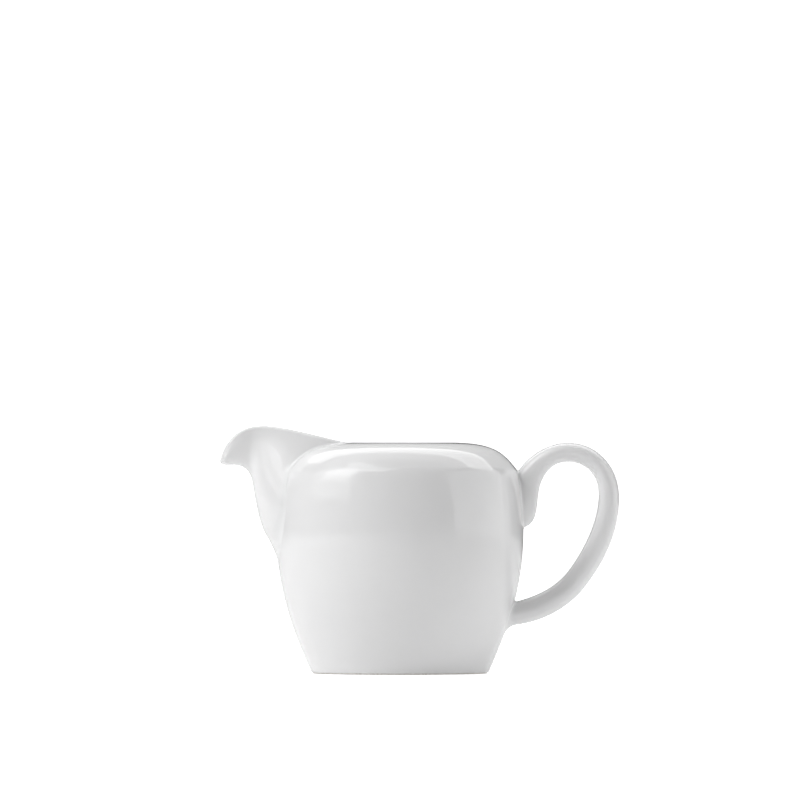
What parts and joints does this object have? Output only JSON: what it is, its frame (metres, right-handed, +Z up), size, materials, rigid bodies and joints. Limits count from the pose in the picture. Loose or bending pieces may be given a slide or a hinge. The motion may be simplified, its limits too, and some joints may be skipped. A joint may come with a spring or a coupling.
{
  "type": "porcelain cream jug",
  "caption": "Round porcelain cream jug with a closed shoulder, a narrow open beak spout and an ear-shaped loop handle.",
  "frame": {"origin": "centre of the plane that the foot ring stands on", "axes": "+Z up, spout towards -X, handle towards +X, symmetric about the XZ plane"},
  "size_m": [0.1276, 0.079, 0.0792],
  "materials": {
    "porcelain_body": "clear gloss glaze over white porcelain",
    "porcelain_spout": "clear gloss glaze over white porcelain",
    "porcelain_handle": "clear gloss glaze over white porcelain",
    "glazed_slip": "slip under the same clear gloss glaze",
    "biscuit_foot": "unglazed biscuit porcelain, matt"
  },
  "bodies": {
    "root": {"body": "porcelain_body", "foot_ring": "biscuit_foot", "spout": "porcelain_spout", "handle": "porcelain_handle", "spout_slip_seam": "glazed_slip", "handle_upper_slip_seam": "glazed_slip", "handle_lower_slip_seam": "glazed_slip"}
  },
  "joints": []
}
